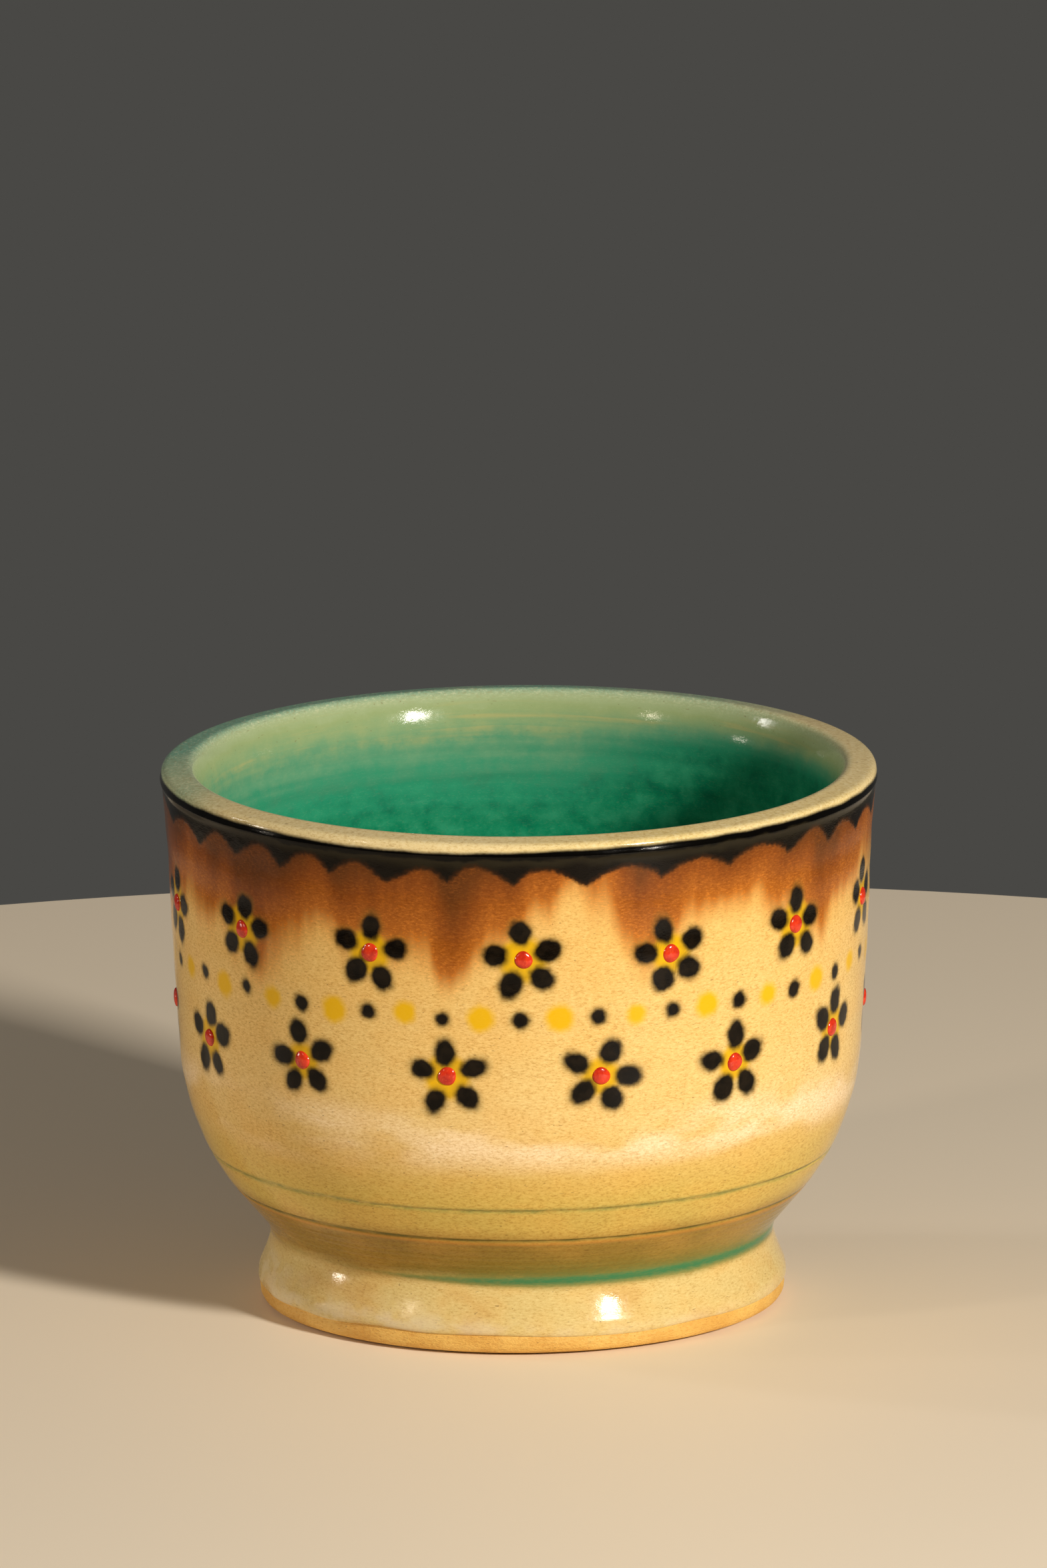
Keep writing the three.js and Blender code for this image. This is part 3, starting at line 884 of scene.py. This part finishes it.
def painted_glaze(name):
    """A glaze of the outside: honey ground, green lines, iron run, flowers and black slip, in the order in
    which they cover each other."""
    material, tree, shader, place = new_material(name)
    clay = tree.use(clay_grain, {"Place": place})
    grain = clay["Grain"]
    spots = {"Place": place, "Grain": grain}
    body = {"Mottle": clay["Mottle"], "Speck": clay["Speck"], "Milk And Sheen": tree.painted("milk_and_sheen")}
    ground = tree.use(honey_ground, {**spots, **body})
    lines = {"Pool": tree.painted("pool"), "Line": tree.painted("line"), "Ridge": tree.painted("ridge")}
    colour = tree.use(green_lines, {"Place": place, "Color": ground["Color"], **lines})["Color"]
    colour = tree.use(iron_run, {**spots, "Color": colour, "Iron": tree.painted("iron")})["Color"]
    marks = {"Petal": tree.painted("petal"), "Pollen": tree.painted("pollen")}
    flowers = tree.use(flower_paint, {"Place": place, "Color": colour, **marks})
    rim = {"Slip": tree.painted("slip"), "Bead": tree.painted("bead")}
    slip = tree.use(black_edge, {"Place": place, "Color": flowers["Color"], **rim})
    paint = tree.sums("MAXIMUM", flowers["Mask"], slip["Mask"])
    finish_glaze(tree, shader, slip["Color"], {**spots, "Paint": paint, "Milk": ground["Milk"]})
    return material


def dipped_glaze(name):
    """A glaze of the lip and the inside: the copper dip, under the black that spills over the lip's edge."""
    material, tree, shader, place = new_material(name)
    clay = tree.use(clay_grain, {"Place": place})
    dip = {"Grain": clay["Grain"], "Speck": clay["Speck"], "Past Crest": tree.painted("past_crest")}
    colour = tree.use(copper_dip, {"Place": place, **dip})["Color"]
    rim = {"Slip": tree.painted("slip"), "Bead": tree.painted("bead")}
    slip = tree.use(black_edge, {"Place": place, "Color": colour, **rim})
    finish_glaze(tree, shader, slip["Color"], {"Place": place, "Grain": clay["Grain"], "Paint": slip["Mask"]})
    return material


def raw_clay(name, pale, deep):
    """Unglazed clay: two tones clouded together, darker along the turning lines and at grit."""
    material, tree, shader, place = new_material(name)
    clay = tree.use(clay_grain, {"Place": place})
    colour = tree.mixed(tree.eased(clay["Mottle"], 0.35, 0.65), pale, deep)
    colour = tree.mixed(tree.eased(clay["Grain"], 0.1, -0.9, 0.0, 0.35), colour, shade(184, 124, 54))
    colour = tree.mixed(tree.sums("MULTIPLY", clay["Speck"], 0.45), colour, shade(92, 56, 26))
    grit = tree.noise(place, (2.5, 2.5, 3.5), detail=3.0)
    height = tree.sums("MULTIPLY_ADD", clay["Grain"], 0.5, grit)
    bump = tree.add("ShaderNodeBump", {"Strength": 1.0, "Distance": 0.06 * MM, "Height": height})
    tree.feed(shader, {
        "Base Color": colour,
        "Roughness": tree.eased(clay["Grain"], -0.6, 0.6, 0.85, 0.6),
        "Normal": bump.outputs[0],
    })
    return material


def red_slip(name):
    """Thick red slip: glossy, a little browner and darker in patches."""
    material, tree, shader, place = new_material(name)
    patch = tree.noise(place, (0.7, 0.7, 0.7), detail=2.0)
    fine = tree.noise(place, (3.0, 3.0, 3.0), detail=2.0)
    colour = tree.mixed(tree.eased(patch, 0.35, 0.7), shade(214, 54, 26), shade(176, 34, 18))
    colour = tree.mixed(tree.eased(fine, 0.5, 0.75, 0.0, 0.4), colour, shade(226, 92, 44))
    bump = tree.add("ShaderNodeBump", {"Strength": 1.0, "Distance": 0.02 * MM, "Height": fine})
    tree.feed(shader, {
        "Base Color": colour,
        "Roughness": tree.eased(patch, 0.3, 0.7, 0.1, 0.2),
        "Normal": bump.outputs[0],
    })
    return material


# The cup
buff = raw_clay("buff_clay", shade(222, 178, 112), shade(206, 158, 92))
ochre = raw_clay("ochre_clay", shade(222, 178, 92), shade(208, 158, 72))
clay_bowl("bowl_clay", buff)
clay_foot("foot_clay", ochre)

edges = [
    foot_edge_run(angles),
    run_at(pool_low),
    run_at(pool_high),
    run_at(wall_foot),
    run_at(wash_height(angles)),
    run_at(arch_height(angles)),
    lip_edge_run,
    RUN["liner edge"],
    RUN["floor centre"],
]
coats = [
    ("foot_honey", "foot_glaze", "honey_glaze_foot", painted_glaze, 0.25),
    ("crease_green", "crease_glaze", "green_pool", painted_glaze, 0.2),
    ("skirt_honey", "skirt_glaze", "honey_glaze_skirt", painted_glaze, 0.32),
    ("wall_honey", "wall_glaze", "honey_glaze_wall", painted_glaze, 0.4),
    ("iron_wash", "brown_wash", "iron_brown", painted_glaze, 0.4),
    ("black_rim", "rim_band", "black_slip", painted_glaze, 0.25),
    ("straw_lip", "lip_glaze", "straw_glaze", dipped_glaze, 0.25),
    ("copper_liner", "liner_glaze", "copper_green", dipped_glaze, 1.1),
]
for (name, node, slot, finish, spacing), low, high in zip(coats, edges, edges[1:]):
    glaze_coat(name, node, slot, finish(name), low, high, spacing)

red = red_slip("red_slip")
for row in BEAD_ROWS:
    red_beads(f"{row}_red_beads", row, red)


# Studio
TABLE_RADIUS = 0.25
TABLE_CORNERS = 180
TABLE_HEIGHT = -0.01 * MM
LIGHT_DISTANCE = 1.2


def table_top(radius):
    """A plain round table top: one flat face with a round rim, just under the foot."""
    rim = np.arange(TABLE_CORNERS) / TABLE_CORNERS * TURN
    height = np.full(TABLE_CORNERS, TABLE_HEIGHT)
    points = np.stack([radius * np.cos(rim), radius * np.sin(rim), height], axis=-1)
    mesh = bpy.data.meshes.new("table_top")
    mesh.from_pydata(points.tolist(), [], [list(range(TABLE_CORNERS))])
    material = bpy.data.materials.new("pale_table")
    material.use_nodes = True
    shader = material.node_tree.nodes["Principled BSDF"]
    shader.inputs["Base Color"].default_value = shade(246, 232, 210)
    shader.inputs["Roughness"].default_value = 0.55
    mesh.materials.append(material)
    top = bpy.data.objects.new("table_top", mesh)
    bpy.context.scene.collection.objects.link(top)


def direction(azimuth, elevation):
    """The way from the cup to a light or camera: degrees right of the front, and above the table."""
    a, e = math.radians(azimuth), math.radians(elevation)
    return Vector((math.sin(a) * math.cos(e), -math.cos(a) * math.cos(e), math.sin(e)))


def soft_light(name, azimuth, elevation, width, height, watts, colour):
    data = bpy.data.lights.new(name, "AREA")
    data.shape = "RECTANGLE"
    data.size = width
    data.size_y = height
    data.energy = watts
    data.color = colour
    light = bpy.data.objects.new(name, data)
    way = direction(azimuth, elevation)
    light.location = way * LIGHT_DISTANCE
    light.rotation_mode = "QUATERNION"
    light.rotation_quaternion = way.to_track_quat("Z", "Y")
    bpy.context.scene.collection.objects.link(light)


table_top(TABLE_RADIUS)
soft_light("key", 40, 25, 0.13, 0.18, 17.0, (1.0, 0.93, 0.83))
soft_light("left_window", -52, 25, 0.09, 0.09, 1.6, (1.0, 0.86, 0.68))
soft_light("far_left_window", -105, 25, 0.09, 0.09, 1.2, (1.0, 0.95, 0.92))
soft_light("low_left_window", -90, 6, 0.1, 0.1, 2.9, (1.0, 0.87, 0.72))

world = bpy.data.worlds.new("studio")
world.use_nodes = True
world.node_tree.nodes["Background"].inputs["Color"].default_value = shade(73, 72, 69)
bpy.context.scene.world = world
bpy.context.scene.view_settings.view_transform = "Standard"

# Camera at the photograph's viewing angle, from far away with a long lens
IMAGE_HEIGHT = 2349
FOCAL_PIXELS = 40000
PIXELS_PER_MM = 10.76
SENSOR = 36
ELEVATION = 13.05
ROLL = 0.4
AIM = Vector((0.65, 0.0, 73.0)) * MM

camera = bpy.data.objects.new("camera", bpy.data.cameras.new("camera"))
camera.data.sensor_width = SENSOR
camera.data.lens = FOCAL_PIXELS / IMAGE_HEIGHT * SENSOR
camera.data.clip_end = 20
back = direction(0, ELEVATION)
camera.location = AIM + back * (FOCAL_PIXELS / PIXELS_PER_MM * MM)
camera.rotation_mode = "QUATERNION"
camera.rotation_quaternion = Quaternion(back, math.radians(-ROLL)) @ back.to_track_quat("Z", "Y")
bpy.context.scene.collection.objects.link(camera)
bpy.context.scene.camera = camera
